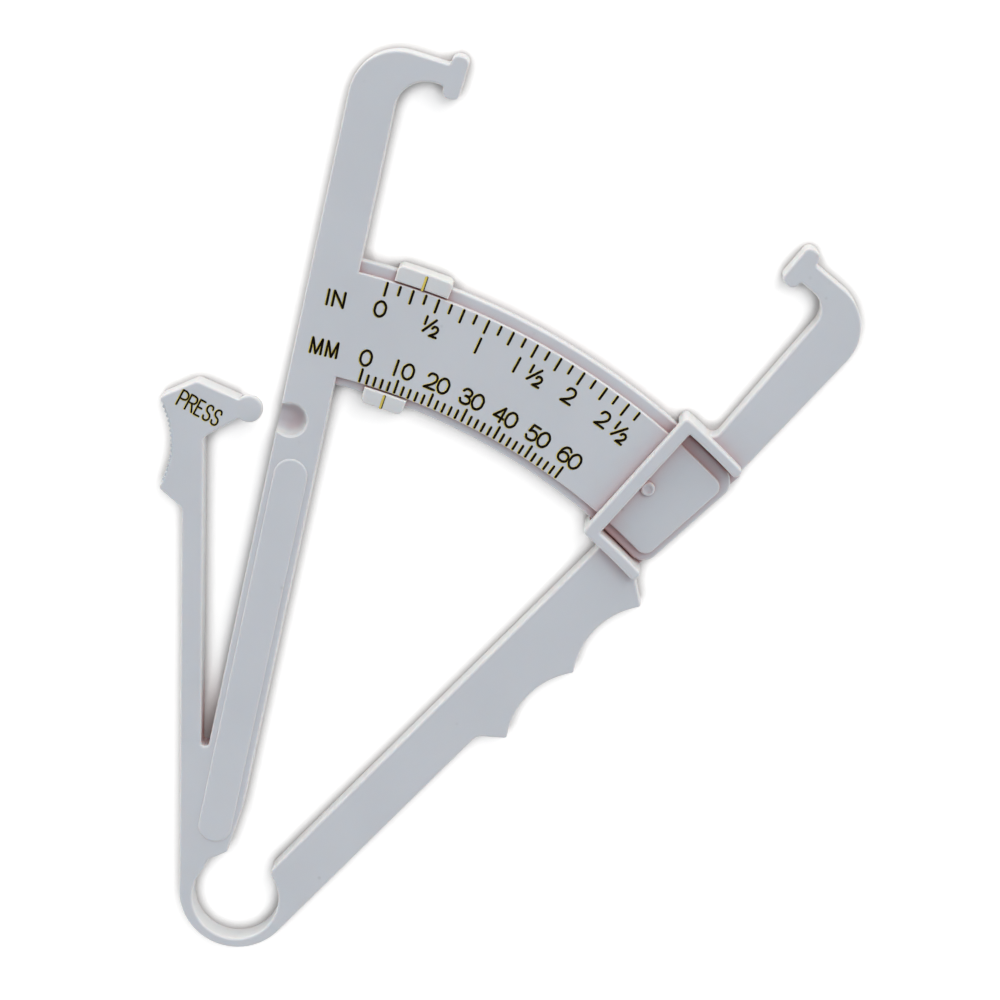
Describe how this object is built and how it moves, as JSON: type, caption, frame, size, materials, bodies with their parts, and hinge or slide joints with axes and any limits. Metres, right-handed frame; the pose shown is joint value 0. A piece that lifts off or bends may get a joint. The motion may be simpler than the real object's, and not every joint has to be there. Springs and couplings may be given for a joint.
{
  "type": "skinfold caliper",
  "caption": "One-piece plastic skinfold caliper: sprung ring hinge, curved scale plate in a guide, sliding cursor, hooked jaws and thumb lever.",
  "frame": {"origin": "centre of the hanging hole in the hinge ring, in the plane of the back", "axes": "+Z out of the printed front, +Y up along the arms towards the jaws, +X to the side that the grip arm opens to"},
  "size_m": [0.1288, 0.1701, 0.0086],
  "materials": {
    "body_plastic": "satin pale grey-white moulded plastic",
    "cursor_plastic": "satin pale grey-white moulded plastic"
  },
  "bodies": {
    "frame": {"scale_arm": "body_plastic", "upper_jaw": "body_plastic", "scale_plate": "body_plastic", "plate_flange": "body_plastic", "stop_boss": "body_plastic", "hinge_ring": "body_plastic", "lever_flexure": "body_plastic"},
    "grip": {"grip_arm": "body_plastic", "finger_rest": "body_plastic", "guide_lower_wall": "body_plastic", "guide_upper_wall": "body_plastic", "guide_floor": "body_plastic", "guide_bar": "body_plastic", "jaw_arm": "body_plastic", "lower_jaw": "body_plastic"},
    "lever": {"lever_stem": "body_plastic", "thumb_head": "body_plastic", "lever_ball": "body_plastic"},
    "cursor": {"cursor_bridge": "cursor_plastic", "cursor_lower_clip": "cursor_plastic", "cursor_upper_clip": "cursor_plastic"}
  },
  "joints": [
    {"name": "jaws_close", "type": "hinge", "parent": "frame", "child": "grip", "pos_m": [-0.00852, -0.01211, 0], "axis": [0, 0, 1], "range_deg": [0, 22.35], "stiffness_Nm_per_rad": 0.6, "deforming": ["hinge_ring"]},
    {"name": "lever_press", "type": "hinge", "parent": "frame", "child": "lever", "pos_m": [-0.00743, 0.0366, 0], "axis": [0, 0, -1], "range_deg": [0, 7], "stiffness_Nm_per_rad": 0.4, "deforming": ["lever_flexure"]},
    {"name": "cursor_slide", "type": "hinge", "parent": "frame", "child": "cursor", "pos_m": [-0.00852, -0.01211, 0], "axis": [0, 0, 1], "range_deg": [-19.5, 2.62]}
  ],
  "couplings": [
    {"joint": "cursor_slide", "follows": "jaws_close", "ratio": 0.116}
  ]
}
